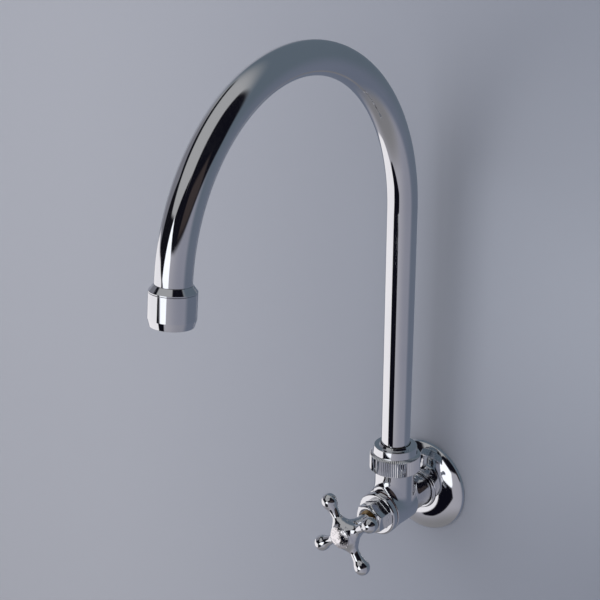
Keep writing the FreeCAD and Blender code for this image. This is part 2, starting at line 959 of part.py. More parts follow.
def make_spout_tube():
    body = riser_part("spout_tube")
    section = sketch_on(body, "section", "XY_Plane", z="tube_seat")
    for radius in ("tube_radius", "tube_radius - tube_wall"):
        circle = Part.Circle(FreeCAD.Vector(), FreeCAD.Vector(0, 0, 1), worth(radius))
        geo = section.addGeometry(circle)
        section.addConstraint(Sketcher.Constraint("Coincident", geo, 3, -1, 1))
        radius_of(section, geo, radius)
    route = sketch_on(body, "route")
    spots = [("0", "tube_seat"), ("0", "arch_start"), ("arch_reach", "arch_end")]
    spots.append(
        (
            "arch_reach + tube_in_ferrule * sin(arch_angle)",
            "arch_end + tube_in_ferrule * cos(arch_angle)",
        )
    )
    points = [FreeCAD.Vector(worth(x), worth(z), 0) for x, z in spots]
    riser = route.addGeometry(Part.LineSegment(points[0], points[1]))
    middle = FreeCAD.Vector(worth("arch_radius"), worth("arch_start"), 0)
    arc, ends = arc_by(middle, worth("arch_radius"), points[1], points[2], False)
    arch = route.addGeometry(arc)
    drop = route.addGeometry(Part.LineSegment(points[2], points[3]))
    pin(route, riser, 1, *spots[0])
    pin(route, riser, 2, *spots[1])
    route.addConstraint(Sketcher.Constraint("Coincident", riser, 2, arch, ends[0]))
    pin(route, drop, 1, *spots[2])
    route.addConstraint(Sketcher.Constraint("Coincident", arch, ends[1], drop, 1))
    pin(route, drop, 2, *spots[3])
    radius_of(route, arch, "arch_radius")
    pipe = body.newObject("PartDesign::AdditivePipe", "gooseneck")
    pipe.Profile = section
    pipe.Spine = (route, [])
    doc.recompute()


def groove_starts():
    lower = "foot_start + ring_groove_lower"
    return [lower, f"{lower} + ring_groove_spacing"]


def make_spout_foot():
    corners = [("foot_bore_radius", "foot_start"), ("foot_radius", "foot_start")]
    for start in groove_starts():
        end = f"{start} + ring_groove_width"
        depth = "foot_radius - ring_groove_depth"
        corners += [("foot_radius", start), (depth, start), (depth, end), ("foot_radius", end)]
    corners += [
        ("foot_radius", "collar_seat"),
        ("foot_collar_radius", "collar_seat"),
        ("foot_collar_radius", "collar_top"),
        ("tube_hole", "collar_top"),
        ("tube_hole", "tube_seat"),
        ("foot_bore_radius", "tube_seat"),
    ]
    turn(riser_part("spout_foot"), "foot", corners)


def make_spout_o_rings():
    for name, start in zip(("spout_o_ring_lower", "spout_o_ring_upper"), groove_starts()):
        rounded_ring(
            riser_part(name),
            "ring",
            "foot_radius - ring_groove_depth + running_fit",
            "foot_radius",
            f"{start} + running_fit",
            "ring_groove_width - 2 * running_fit",
            "ring_round",
        )


def make_spout_washers():
    ring(
        riser_part("spout_thrust_washer"),
        "washer",
        "socket_radius + running_fit",
        "foot_collar_radius",
        "tower_top",
        "tower_top + thrust_washer",
    )
    ring(
        riser_part("spout_slip_washer"),
        "washer",
        "nut_hole_radius + running_fit",
        "foot_collar_radius",
        "slip_washer_start",
        "nut_lip_start",
    )


def make_spout_nut():
    body = riser_part("spout_nut")
    hole = "tower_radius + running_fit"
    turn(
        body,
        "nut",
        [
            (hole, "nut_bottom"),
            ("nut_radius", "nut_bottom", ("round", "knurl_edge")),
            ("nut_radius", "knurl_top", ("round", "knurl_edge")),
            ("nut_band_radius", "knurl_top", ("bow", "nut_band_bow", 1)),
            ("nut_shoulder_radius", "nut_shoulder"),
            ("nut_hole_radius + nut_collar_wall", "nut_shoulder"),
            ("nut_hole_radius", "nut_top"),
            ("nut_hole_radius", "nut_lip_start"),
            (hole, "nut_lip_start"),
        ],
    )
    notch = sketch_on(body, "notch", "XY_Plane", z="nut_bottom")
    draw(
        notch,
        [
            ("nut_radius - knurl_depth", "0"),
            ("nut_radius + knurl_depth", "-knurl_width"),
            ("nut_radius + knurl_depth", "knurl_width"),
        ],
    )
    cut = extrude(body, "knurl", notch, "knurl_top - nut_bottom", cut=True, reverse=True)
    around(body, cut, "knurl_count")


# ---- outlet and aerator


def make_outlet_ferrule():
    turn(
        outlet_part("outlet_ferrule"),
        "ferrule",
        [
            ("tube_hole", "0"),
            ("tube_hole + ferrule_edge", "0"),
            ("outlet_radius", "ferrule_cone"),
            ("outlet_radius", "ferrule_shoulder"),
            ("outlet_thread_radius", "ferrule_shoulder"),
            ("outlet_thread_radius", "ferrule_length"),
            ("tube_radius - tube_wall", "ferrule_length"),
            ("tube_radius - tube_wall", "tube_in_ferrule"),
            ("tube_hole", "tube_in_ferrule"),
        ],
    )


def make_aerator_housing():
    turn(
        outlet_part("aerator_housing"),
        "housing",
        [
            ("housing_bore", "housing_start"),
            ("outlet_radius", "housing_start", ("round", "housing_edge")),
            ("outlet_radius", "housing_end - housing_chamfer"),
            ("housing_end_radius", "housing_end", ("round", "housing_edge")),
            ("mouth_radius", "housing_end"),
            ("mouth_radius", "housing_ledge"),
            ("housing_bore", "housing_ledge"),
        ],
    )


def make_aerator_washer():
    ring(
        outlet_part("aerator_washer"),
        "washer",
        "aerator_washer_bore",
        "outlet_thread_radius",
        "ferrule_length",
        "aerator_washer_end",
    )


def round_hole(sketch, x, y, radius):
    """A circle of a sketch, its centre and radius held by formulas."""
    centre = FreeCAD.Vector(worth(x), worth(y), 0)
    geo = sketch.addGeometry(Part.Circle(centre, FreeCAD.Vector(0, 0, 1), worth(radius)))
    pin(sketch, geo, 3, x, y)
    radius_of(sketch, geo, radius)


def make_aerator_insert():
    body = outlet_part("aerator_insert")
    plate_end = "aerator_washer_end + insert_plate"
    bore = "insert_radius - insert_wall"
    turn(
        body,
        "cup",
        [
            ("0", "aerator_washer_end"),
            ("insert_radius", "aerator_washer_end"),
            ("insert_radius", "housing_ledge"),
            (bore, "housing_ledge"),
            (bore, plate_end),
            ("0", plate_end),
        ],
    )
    jet = sketch_on(body, "jet_outline", "XY_Plane", z="aerator_washer_end")
    round_hole(jet, "jet_circle", "0", "jet_radius")
    around(body, extrude(body, "jet", jet, "insert_plate", cut=True, reverse=True), "jet_count")


def make_aerator_screen():
    body = outlet_part("aerator_screen")
    screen_end = "housing_ledge - screen_inset"
    screen_start = f"{screen_end} - screen_thickness"
    turn(body, "disc", block("0", "insert_radius - insert_wall - running_fit", screen_start, screen_end))
    for step in range(1, sizes["screen_rings"] + 1):
        outline = sketch_on(body, f"hole_outline_{step}", "XY_Plane", z=screen_start)
        round_hole(outline, f"screen_spacing * {step}", "0", "screen_hole_radius")
        hole = extrude(body, f"hole_{step}", outline, "screen_thickness", cut=True, reverse=True)
        around(body, hole, f"{6 * step}")


# ---- the whole tap

makers = [
    make_valve_body,
    make_valve_seat,
    make_wall_flange,
    make_flange_o_ring,
    make_bonnet_washer,
    make_bonnet,
    make_gland_packing,
    make_gland_nut,
    make_spout_nut,
    make_spout_washers,
    make_spout_foot,
    make_spout_o_rings,
    make_spout_tube,
    make_outlet_ferrule,
    make_aerator_housing,
    make_aerator_washer,
    make_aerator_insert,
    make_aerator_screen,
    make_jumper,
    make_jumper_washer,
    make_jumper_nut,
    make_spindle,
    make_handle_cross,
    make_handle_screw,
    make_index_cap,
]
for maker in makers:
    maker()
doc.removeObject(bench.Name)
doc.recompute()

faults = [thing.Name for thing in doc.Objects if "Invalid" in thing.State or "Error" in thing.State]
faults += [body.Label for body in parts if body.Shape.isNull() or not body.Shape.isValid()]
if faults:
    raise RuntimeError(f"these failed: {faults}")
os.makedirs("parts", exist_ok=True)
for body in parts:
    body.Shape.exportStep(f"parts/{body.Label}.step")
    print(f"{body.Label}: {len(body.Shape.Solids)} solid, {body.Shape.Volume:.1f} mm3")
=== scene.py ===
import json
import math

import bmesh
import bpy
import numpy as np
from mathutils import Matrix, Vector


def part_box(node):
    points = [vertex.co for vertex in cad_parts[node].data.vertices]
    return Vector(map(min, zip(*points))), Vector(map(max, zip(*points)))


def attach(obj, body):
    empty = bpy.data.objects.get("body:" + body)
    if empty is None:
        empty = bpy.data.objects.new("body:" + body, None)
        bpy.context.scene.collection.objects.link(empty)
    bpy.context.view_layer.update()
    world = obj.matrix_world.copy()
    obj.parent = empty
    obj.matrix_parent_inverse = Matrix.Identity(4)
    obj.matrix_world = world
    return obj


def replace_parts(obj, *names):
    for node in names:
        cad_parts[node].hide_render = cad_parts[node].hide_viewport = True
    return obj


# Wall tap: chrome castings, a bent spout and a cross handle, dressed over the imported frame.
# Shapes are worked out in millimetres in the frame's own axes: +Y into the wall, +X right, +Z up.

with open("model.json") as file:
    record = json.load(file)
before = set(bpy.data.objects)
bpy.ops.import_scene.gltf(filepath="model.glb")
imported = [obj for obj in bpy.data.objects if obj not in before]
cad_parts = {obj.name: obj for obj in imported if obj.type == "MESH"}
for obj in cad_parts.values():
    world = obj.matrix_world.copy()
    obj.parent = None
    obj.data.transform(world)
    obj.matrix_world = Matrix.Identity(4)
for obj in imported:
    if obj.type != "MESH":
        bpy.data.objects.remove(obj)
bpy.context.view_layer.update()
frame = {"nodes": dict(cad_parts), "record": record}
record = frame["record"]
mm = 0.001
full = 2 * math.pi


def boxOf(node):
    # lowest and highest corner of a CAD node, in millimetres
    low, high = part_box(node)
    return np.array(low) / mm, np.array(high) / mm


def mountOf(name):
    mount = next(item for item in record["mounts"] if item["name"] == name)
    return np.array(mount["pos_m"]) / mm, np.array(mount["axis"])


# ---------- places that the frame gives
nutLow, nutHigh = boxOf("spout_nut")
riser = np.array([0.0, (nutLow[1] + nutHigh[1]) / 2, 0.0])
barrelFront = -boxOf("bonnet_washer")[1][1]
hexFront = -boxOf("bonnet")[0][1]
outletPoint, outletAxis = mountOf("outlet")


# ---------- meshes
def arcPoints(centre, radius, start, end, steps):
    # points at even angles from start to end, in radians, about a centre
    turn = np.linspace(start, end, steps + 1)
    return np.stack([centre[0] + radius * np.cos(turn), centre[1] + radius * np.sin(turn)], 1)


def outline(corners, fine=6):
    # a line through (x, y) corners; one with a third number is rounded by a tangent arc of that radius
    points = [np.array(corner[:2], float) for corner in corners]
    made = []
    for i, corner in enumerate(corners):
        if len(corner) == 2 or i in (0, len(corners) - 1):
            made.append(points[i][None])
            continue
        back = points[i - 1] - points[i]
        ahead = points[i + 1] - points[i]
        back, ahead = back / np.linalg.norm(back), ahead / np.linalg.norm(ahead)
        half = math.acos(np.clip(back @ ahead, -1, 1)) / 2
        reach = corner[2] / math.tan(half)
        bisector = (back + ahead) / np.linalg.norm(back + ahead)
        centre = points[i] + bisector * corner[2] / math.sin(half)
        first, last = points[i] + back * reach - centre, points[i] + ahead * reach - centre
        begin = math.atan2(first[1], first[0])
        sweep = (math.atan2(last[1], last[0]) - begin + math.pi) % full - math.pi
        made.append(arcPoints(centre, corner[2], begin, begin + sweep, fine))
    return np.vstack(made)


def bow(start, end, radius, side, steps=16):
    # an arc from start to end whose centre lies left (1) or right (-1) of the way
    start, end = np.array(start, float), np.array(end, float)
    way = end - start
    length = np.linalg.norm(way)
    across = np.array([-way[1], way[0]]) / length * math.sqrt(radius**2 - length**2 / 4) * side
    centre = (start + end) / 2 + across
    begin = math.atan2(*(start - centre)[::-1])
    sweep = (math.atan2(*(end - centre)[::-1]) - begin + math.pi) % full - math.pi
    return arcPoints(centre, radius, begin, begin + sweep, steps)


def gridFaces(rows, columns):
    # quads between the points of a grid whose columns close on themselves
    row, column = np.meshgrid(np.arange(rows - 1), np.arange(columns), indexing="ij")
    after = (column + 1) % columns
    corners = [row * columns + column, row * columns + after]
    corners += [(row + 1) * columns + after, (row + 1) * columns + column]
    return np.stack(corners, -1).reshape(-1, 4)


def turned(profile, steps=128):
    # radius and height along a profile, carried round the Z axis: x = r cos a, y = r sin a, z = height
    angle = np.arange(steps) / steps * full
    radius, height = profile[:, :1], profile[:, 1:]
    grid = np.stack([radius * np.cos(angle), radius * np.sin(angle), height + 0 * angle], -1)
    return grid.reshape(-1, 3), gridFaces(len(profile), steps)


def placed(points, origin, zAxis, xAxis):
    # a local grid set at an origin with its Z and X along two directions of the frame
    zAxis = np.array(zAxis, float) / np.linalg.norm(zAxis)
    xAxis = np.array(xAxis, float) - zAxis * (np.array(xAxis, float) @ zAxis)
    xAxis = xAxis / np.linalg.norm(xAxis)
    return np.array(origin) + points @ np.stack([xAxis, np.cross(zAxis, xAxis), zAxis])


def inFront(points):
    # a local Z axis that runs from the wall into the room, on the valve's axis
    return placed(points, (0, 0, 0), (0, -1, 0), (1, 0, 0))


def joined(*grids):
    # several grids as one set of points and faces
    offset, points, faces = 0, [], []
    for some, its in grids:
        points.append(some)
        faces.append(its + offset)
        offset += len(some)
    return np.vstack(points), np.vstack(faces)


weldGap = 1e-7


def meshOf(name, points, faces):
    # the points in metres as a mesh, its doubles merged and its faces turned outwards
    mesh = bpy.data.meshes.new(name)
    mesh.from_pydata((points * mm).tolist(), [], faces.tolist())
    work = bmesh.new()
    work.from_mesh(mesh)
    bmesh.ops.remove_doubles(work, verts=work.verts, dist=weldGap)
    bmesh.ops.recalc_face_normals(work, faces=work.faces)
    work.to_mesh(mesh)
    work.free()
    mesh.polygons.foreach_set("use_smooth", [True] * len(mesh.polygons))
    return mesh


def piece(name, mesh, body, finish, stands=(), crisp=32):
    # an object for a mesh, riding on a body and standing for some CAD nodes; edges over crisp degrees stay sharp
    made = bpy.data.objects.new(name, mesh)
    bpy.context.scene.collection.objects.link(made)
    mesh.materials.append(finish)
    if crisp:
        mesh.set_sharp_from_angle(angle=math.radians(crisp))
        weighted = made.modifiers.new("even_normals", "WEIGHTED_NORMAL")
        weighted.keep_sharp = True
    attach(made, body)
    if stands:
        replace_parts(made, *stands)
    return made


# ---------- cast shapes: a field is the distance to a surface, negative inside
def polygonField(x, y, polygon):
    # signed distance of points to a closed polygon, by its nearest edge and the crossings to the right
    nearest, crossings = np.full(len(x), 1e9), np.zeros(len(x), int)
    for start, end in zip(polygon, np.roll(polygon, -1, axis=0)):
        edge = end - start
        if edge @ edge < 1e-12:
            continue
        share = np.clip(((x - start[0]) * edge[0] + (y - start[1]) * edge[1]) / (edge @ edge), 0, 1)
        gap = (x - start[0] - share * edge[0]) ** 2 + (y - start[1] - share * edge[1]) ** 2
        nearest = np.minimum(nearest, gap)
        if edge[1] != 0:
            where = start[0] + (y - start[1]) / edge[1] * edge[0]
            crossings += ((start[1] > y) != (end[1] > y)) & (x < where)
    return np.sqrt(nearest) * np.where(crossings % 2 == 1, -1.0, 1.0)


def blended(a, b, width):
    # union of two fields with a soft hollow of about that width where they meet
    share = np.maximum(width - np.abs(a - b), 0) / np.maximum(width, 1e-6)
    return np.minimum(a, b) - share**2 * width / 4


def trimmed(a, b, width):
    # what two fields share, with an edge rounded by about that width
    return -blended(-a, -b, width)


def gradientOf(field, points, step=0.01):
    # central differences along the three axes
    shifts = np.eye(3) * step
    return np.stack([field(points + s) - field(points - s) for s in shifts], 1) / (2 * step)


walk = {"passes": 6, "flattest": 0.05, "longestStep": 0.8}


def cast(name, start, field, voxel):
    # a closed start shape is remeshed to even quads, whose points then walk down the field's slope to its zero
    rough = bpy.data.objects.new(name + "_rough", meshOf(name + "_rough", *start))
    bpy.context.scene.collection.objects.link(rough)
    remesh = rough.modifiers.new("even", "REMESH")
    remesh.mode = "VOXEL"
    remesh.voxel_size = voxel * mm
    ready = rough.evaluated_get(bpy.context.evaluated_depsgraph_get())
    mesh = bpy.data.meshes.new_from_object(ready)
    bpy.data.objects.remove(rough)
    mesh.name = name
    points = np.empty(len(mesh.vertices) * 3, np.float32)
    mesh.vertices.foreach_get("co", points)
    points = points.reshape(-1, 3).astype(float) / mm
    for _ in range(walk["passes"]):
        slope = gradientOf(field, points)
        length = np.maximum((slope**2).sum(1), walk["flattest"])
        move = slope * (field(points) / length)[:, None]
        size = np.linalg.norm(move, axis=1, keepdims=True)
        points -= move * np.minimum(1, walk["longestStep"] / np.maximum(size, 1e-9))
    slope = gradientOf(field, points)
    slope /= np.maximum(np.linalg.norm(slope, axis=1, keepdims=True), 1e-9)
    mesh.vertices.foreach_set("co", (points * mm).astype(np.float32).ravel())
    mesh.update()
    mesh.polygons.foreach_set("use_smooth", [True] * len(mesh.polygons))
    mesh.normals_split_custom_set_from_vertices(slope.tolist())
    print(name, len(mesh.polygons), "faces, off the surface by", round(float(np.abs(field(points)).max()), 4), "mm")
    return mesh


# ---------- shader maths
class Value:
    # a shader socket that adds Math nodes when it is worked with
    def __init__(self, graph, socket):
        self.graph = graph
        self.socket = socket

    def math(self, operation, other):
        return self.graph.add("ShaderNodeMath", {"operation": operation}, [self, other])

    def __add__(self, other):
        return self.math("ADD", other)

    __radd__ = __add__

    def __mul__(self, other):
        return self.math("MULTIPLY", other)

    __rmul__ = __mul__

    def __sub__(self, other):
        return self.math("SUBTRACT", other)

    def __rsub__(self, other):
        return self.graph.add("ShaderNodeMath", {"operation": "SUBTRACT"}, [other, self])

    def __truediv__(self, other):
        return self.math("DIVIDE", other)

    def __pow__(self, other):
        return self.math("POWER", other)


class Graph:
    # the nodes of a material or of the world
    def __init__(self, owner):
        owner.use_nodes = True
        self.tree = owner.node_tree
        self.tree.nodes.clear()

    def add(self, kind, settings=None, sockets=None, out=0):
        # one node: its settings first, then the values or links of its sockets, by place or by name
        node = self.tree.nodes.new(kind)
        for key, value in (settings or {}).items():
            setattr(node, key, value)
        entries = sockets.items() if isinstance(sockets, dict) else enumerate(sockets or [])
        for key, value in entries:
            if isinstance(value, Value):
                self.tree.links.new(value.socket, node.inputs[key])
            else:
                node.inputs[key].default_value = value
        return Value(self, node.outputs[out]) if len(node.outputs) else None

    def mix(self, share, a, b):
        # colours a and b mixed by a share
        colours = [(*colour, 1) if isinstance(colour, tuple) and len(colour) == 3 else colour for colour in (a, b)]
        settings = {"data_type": "RGBA"}
        return self.add("ShaderNodeMix", settings, {0: share, 6: colours[0], 7: colours[1]}, out=2)

    def smooth(self, value, low, high):
        # 0 below low, 1 above high, and smooth between them
        return self.add("ShaderNodeMapRange", {"interpolation_type": "SMOOTHSTEP"}, [value, low, high, 0.0, 1.0])

    def noise(self, where, scale, detail=3.0, roughness=0.5):
        sockets = {"Vector": where, "Scale": scale, "Detail": detail, "Roughness": roughness}
        return self.add("ShaderNodeTexNoise", {}, sockets)

    def stretch(self, where, amounts):
        # coordinates scaled by three amounts
        return self.add("ShaderNodeMapping", {}, {"Vector": where, "Scale": amounts})


def newMaterial(name):
    material = bpy.data.materials.new(name)
    graph = Graph(material)
    where = graph.add("ShaderNodeTexCoord", out=3)
    return material, graph, where


def shaded(graph, sockets):
    surface = graph.add("ShaderNodeBsdfPrincipled", {}, sockets)
    graph.add("ShaderNodeOutputMaterial", {}, [surface])


def bump(graph, height, distance):
    return graph.add("ShaderNodeBump", {}, {"Strength": 1.0, "Distance": distance, "Height": height})


chromeLook = {
    "colour": (0.80, 0.81, 0.83),
    "shadowTint": (0.74, 0.755, 0.785),
    "roughness": 0.035,
    "smear": 0.05,
    "grainDulling": 0.03,
    "speckDulling": 0.10,
    "waviness": 0.00002,
    "grainHeight": 0.004,
}


def chromeMaterial(name, look, grain, wave):
    # polished plate: a thin polishing grain, faint smears that dull it, and the slow waviness of the metal under it
    material, graph, where = newMaterial(name)
    smears = graph.smooth(graph.noise(where, 38.0, 4.0, 0.6), 0.50, 0.72)
    lines = graph.noise(graph.stretch(where, grain), 240.0, 2.0)
    specks = graph.smooth(graph.noise(where, 950.0, 1.0), 0.70, 0.78)
    slow = graph.noise(where, wave, 1.0)
    colour = graph.mix(graph.smooth(graph.noise(where, 16.0), 0.35, 0.7), look["colour"], look["shadowTint"])
    shaded(
        graph,
        {
            "Base Color": colour,
            "Metallic": 1.0,
            "Roughness": smears * look["smear"]
            + lines * look["grainDulling"]
            + specks * look["speckDulling"]
            + look["roughness"],
            "Normal": bump(graph, slow + lines * look["grainHeight"], look["waviness"]),
        },
    )
    return material


chromePlate = chromeMaterial("chromePlate", chromeLook, (1.0, 1.0, 0.06), 26.0)
chromeCast = chromeMaterial("chromeCast", {**chromeLook, "waviness": 0.00005}, (0.5, 0.5, 0.5), 90.0)


capLook = {
    "colour": (0.86, 0.84, 0.85),
    "pit": (0.66, 0.64, 0.66),
    "roughness": 0.05,
    "pitDulling": 0.16,
    "haze": 0.06,
}
fineRelief = 0.00003


def capMaterial(look):
    # pale polished metal whose face is finely pitted: the pits are a little darker and duller
    material, graph, where = newMaterial("satinCap")
    mottle = graph.smooth(graph.noise(where, 620.0, 4.0, 0.7), 0.48, 0.66)
    soft = graph.noise(where, 210.0, 2.0)
    shaded(
        graph,
        {
            "Base Color": graph.mix(mottle, look["colour"], look["pit"]),
            "Metallic": 1.0,
            "Roughness": mottle * look["pitDulling"] + soft * look["haze"] + look["roughness"],
            "Normal": bump(graph, mottle, fineRelief),
        },
    )
    return material


def metalMaterial(name, colour, worn, roughness):
    # turned metal: fine tool lines round the axis, dulled in patches
    material, graph, where = newMaterial(name)
    patches = graph.smooth(graph.noise(where, 150.0, 4.0, 0.6), 0.4, 0.65)
    lines = graph.noise(graph.stretch(where, (0.3, 6.0, 0.3)), 420.0, 2.0)
    shaded(
        graph,
        {
            "Base Color": graph.mix(patches, colour, worn),
            "Metallic": 1.0,
            "Roughness": patches * 0.15 + lines * 0.1 + roughness,
            "Normal": bump(graph, lines, fineRelief),
        },
    )
    return material


def softMaterial(name, colour, spot, roughness):
    # rubber, fibre or plastic: moulded grain with a slightly paler bloom
    material, graph, where = newMaterial(name)
    grain = graph.noise(where, 1400.0, 3.0)
    bloom = graph.smooth(graph.noise(where, 260.0, 3.0), 0.45, 0.7)
    shaded(
        graph,
        {
            "Base Color": graph.mix(bloom, colour, spot),
            "Roughness": bloom * 0.15 + grain * 0.1 + roughness,
            "Normal": bump(graph, grain, fineRelief),
        },
    )
    return material


satinCap = capMaterial(capLook)
brass = metalMaterial("dullBrass", (0.36, 0.27, 0.15), (0.22, 0.15, 0.08), 0.26)
steel = metalMaterial("turnedSteel", (0.62, 0.62, 0.63), (0.45, 0.45, 0.47), 0.22)
rubber = softMaterial("blackRubber", (0.025, 0.025, 0.027), (0.05, 0.05, 0.052), 0.5)
fibre = softMaterial("redFibre", (0.20, 0.055, 0.035), (0.27, 0.09, 0.06), 0.6)
ptfe = softMaterial("whitePtfe", (0.86, 0.86, 0.84), (0.80, 0.80, 0.78), 0.35)
acetal = softMaterial("greyAcetal", (0.70, 0.71, 0.73), (0.62, 0.63, 0.66), 0.35)
slotFinish = {
    "chrome_plate": chromePlate,
    "handle_chrome": chromeCast,
    "satin_cap": satinCap,
    "brass": brass,
    "steel": steel,
    "rubber": rubber,
    "fibre": fibre,
    "ptfe": ptfe,
    "acetal": acetal,
}
for entry in record["subparts"]:
    node = frame["nodes"][entry["node"]]
    node.data.materials.clear()
    node.data.materials.append(slotFinish[entry["material_slot"]])
print("materials:", len(slotFinish))

# ---------- spout
spout = {
    "tubeRadius": 9.5,
    "tubeWall": 1.2,
    "archRadius": 107.0,
    "archSweep": math.radians(174),
    "ferruleDepth": 7.6,
    "riserSteps": 24,
    "archSteps": 220,
    "steps": 128,
}


def makeSpoutTube():
    # a circle carried up the riser, round the arch and into the ferrule; the inner wall goes back the same way
    low, high = boxOf("spout_tube")
    radius, bend, sweep = spout["tubeRadius"], spout["archRadius"], spout["archSweep"]
    archStart = high[2] - bend - radius
    reach = np.array([outletAxis[0], outletAxis[1], 0])
    reach /= np.linalg.norm(reach)
    up = np.array([0, 0, 1.0])
    straight, curved = spout["riserSteps"], spout["archSteps"]
    turn = np.concatenate([np.zeros(straight), np.linspace(0, sweep, curved)])
    climb = np.concatenate([np.linspace(low[2], archStart, straight + 1)[:-1], np.full(curved, archStart)])
    out = -np.cos(turn)[:, None] * reach + np.sin(turn)[:, None] * up
    centre = riser + reach * bend + climb[:, None] * up + bend * out
    way = np.sin(turn)[:, None] * reach + np.cos(turn)[:, None] * up
    centre = np.vstack([centre, centre[-1] + way[-1] * spout["ferruleDepth"]])
    out = np.vstack([out, out[-1]])
    side = np.cross(reach, up)
    angle = np.arange(spout["steps"]) / spout["steps"] * full
    ring = np.cos(angle)[None, :, None] * out[:, None] + np.sin(angle)[None, :, None] * side
    outer = centre[:, None] + radius * ring
    inner = (centre[:, None] + (radius - spout["tubeWall"]) * ring)[::-1]
    shell = np.vstack([outer, inner, outer[:1]])
    faces = gridFaces(len(shell), len(angle))
    mesh = meshOf("spoutTube", shell.reshape(-1, 3), faces)
    return piece("spoutTube", mesh, "spout", chromePlate, ["spout_tube"])


makeSpoutTube()

ferrule = {"hole": 9.55, "edge": 0.4, "cone": 3.1, "land": 0.5, "radius": 12.25, "neck": 11.0, "end": 7.0}
housing = {
    "gap": 0.15,
    "length": 17.35,
    "chamfer": 4.0,
    "chamferRound": 0.6,
    "endRadius": 11.1,
    "mouth": 9.4,
    "mouthRound": 0.2,
    "lip": 2.4,
    "edge": 0.3,
    "bore": 11.05,
}
outletLength = 21.1
outletStart = outletPoint - outletAxis * outletLength


def onOutlet(points):
    # a local Z axis along the way that the water leaves
    return placed(points, outletStart, outletAxis, (0, 0, 1))


def makeFerrule():
    # cone from the tube to the housing's radius, a thin land, and a neck inside the housing
    f = ferrule
    shoulder = f["cone"] + f["land"]
    corners = [(f["hole"], f["end"]), (f["hole"], 0), (f["hole"] + f["edge"], 0, 0.15), (f["radius"], f["cone"], 0.2)]
    corners += [(f["radius"], shoulder), (f["neck"], shoulder), (f["neck"], f["end"]), (f["hole"], f["end"])]
    points, faces = turned(outline(corners))
    return piece("outletFerrule", meshOf("outletFerrule", onOutlet(points), faces), "spout", chromePlate)


def makeHousing():
    # straight sleeve, a long chamfer at the mouth, an inner lip under the screen
    h = housing
    start = ferrule["cone"] + ferrule["land"] + h["gap"]
    end = start + h["length"]
    radius = ferrule["radius"]
    corners = [(h["bore"], start), (radius, start, h["edge"]), (radius, end - h["chamfer"], h["chamferRound"])]
    corners += [(h["endRadius"], end, h["edge"]), (h["mouth"], end, h["mouthRound"]), (h["mouth"], end - h["lip"])]
    corners += [(h["bore"], end - h["lip"]), (h["bore"], start)]
    points, faces = turned(outline(corners))
    mesh = meshOf("aeratorHousing", onOutlet(points), faces)
    return piece("aeratorHousing", mesh, "spout", chromePlate, ["aerator_housing"])


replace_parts(makeFerrule(), "outlet_ferrule")
makeHousing()
print("spout: tube, ferrule and housing")

# ---------- spout nut
nut = {
    "radius": 16.9,
    "edge": 0.5,
    "ribs": 78,
    "ribDepth": 0.55,
    "knurlLength": 10.4,
    "slope": 1.4,
    "slopeRound": 0.4,
    "bandFoot": 0.6,
    "stepsToRib": 10,
    "band": 14.7,
    "bandBow": 45.0,
    "bandLength": 6.4,
    "shoulder": 14.2,
    "shoulderEdge": 0.35,
    "collarFoot": 10.9,
    "collarTop": 10.1,
    "collarLength": 1.4,
    "hole": 10.0,
    "lipStart": 42.0,
    "bore": 13.3,
}


def makeSpoutNut():
    # the profile is turned, and where it is widest its radius dips in a V between each two ribs
    n = nut
    bottom = nutLow[2]
    knurlTop = bottom + n["knurlLength"]
    shoulderTop = knurlTop + n["bandLength"]
    top = shoulderTop + n["collarLength"]
    bandStart = knurlTop + n["slope"]
    foot = bandStart + n["bandFoot"]
    skirt = outline([(n["bore"], bottom), (n["radius"], bottom, n["edge"]), (n["radius"], knurlTop, 0.3),
                     (n["band"] + 0.1, bandStart, n["slopeRound"]), (n["band"], foot)], 4)
    rim = shoulderTop - n["shoulderEdge"]
    crown = bow((n["band"], foot), (n["shoulder"], rim), n["bandBow"], 1)
    cap = outline([(n["shoulder"], rim), (n["shoulder"] - 0.02, shoulderTop, n["shoulderEdge"] * 0.9),
                   (n["collarFoot"], shoulderTop, 0.15), (n["collarTop"], top, 0.08), (n["hole"], top),
                   (n["hole"], n["lipStart"]), (n["bore"], n["lipStart"]), (n["bore"], bottom)])
    profile = np.vstack([skirt, crown[1:], cap[1:]])
    steps = n["ribs"] * n["stepsToRib"]
    points, faces = turned(profile, steps)
    angle = np.tile(np.arange(steps) / steps * full, len(profile))
    radius = np.hypot(points[:, 0], points[:, 1])
    rib = 1 - np.abs(angle * n["ribs"] / full % 1 * 2 - 1)
    grip = np.clip((radius - n["band"] - 0.9) / 0.6, 0, 1)
    deep = 1 - grip * (1 - rib) * n["ribDepth"] / np.maximum(radius, 1)
    points[:, :2] *= deep[:, None]
    mesh = meshOf("spoutNut", points + riser, faces)
    return piece("spoutNut", mesh, "faucet", chromePlate, ["spout_nut"], crisp=40)


makeSpoutNut()
print("spout nut:", nut["ribs"], "ribs")

# ---------- wall flange
flange = {
    "radius": 32.5,
    "foot": 1.6,
    "rim": 2.6,
    "draft": 0.4,
    "dome": 30.0,
    "lip": 14.0,
    "lipStart": 7.9,
    "lipEnd": 9.8,
    "lipRound": 0.6,
    "hole": 12.2,
    "recess": 4.4,
    "hollowStart": 6.1,
    "hollowEnd": (30.3, 1.7),
    "hollow": 28.2,
}


